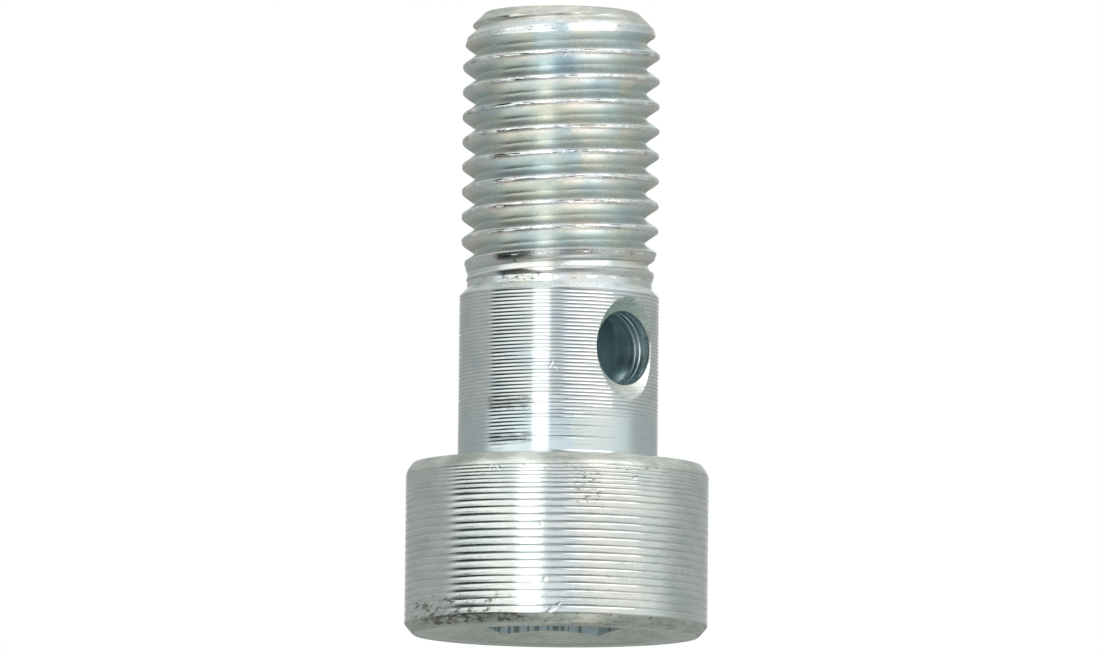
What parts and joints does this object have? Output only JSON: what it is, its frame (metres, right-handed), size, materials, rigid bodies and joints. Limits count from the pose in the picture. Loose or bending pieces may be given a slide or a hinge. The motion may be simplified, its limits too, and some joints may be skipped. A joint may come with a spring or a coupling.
{
  "type": "banjo bolt",
  "caption": "Hollow screw with a round head and hexagon socket, a cross-drilled plain shank and a threaded end with a blind bore that meets the cross drilling.",
  "frame": {"origin": "centre of the head's end face, the face that the bolt stands on", "axes": "+Z along the bolt's axis from the head to the thread end, +X along the cross drilling through the shank"},
  "size_m": [0.0181, 0.018, 0.0373],
  "materials": {
    "zinc_plated_steel": "turned and rolled steel with bright zinc plating"
  },
  "bodies": {
    "root": {"bolt_body": "zinc_plated_steel"}
  },
  "joints": []
}
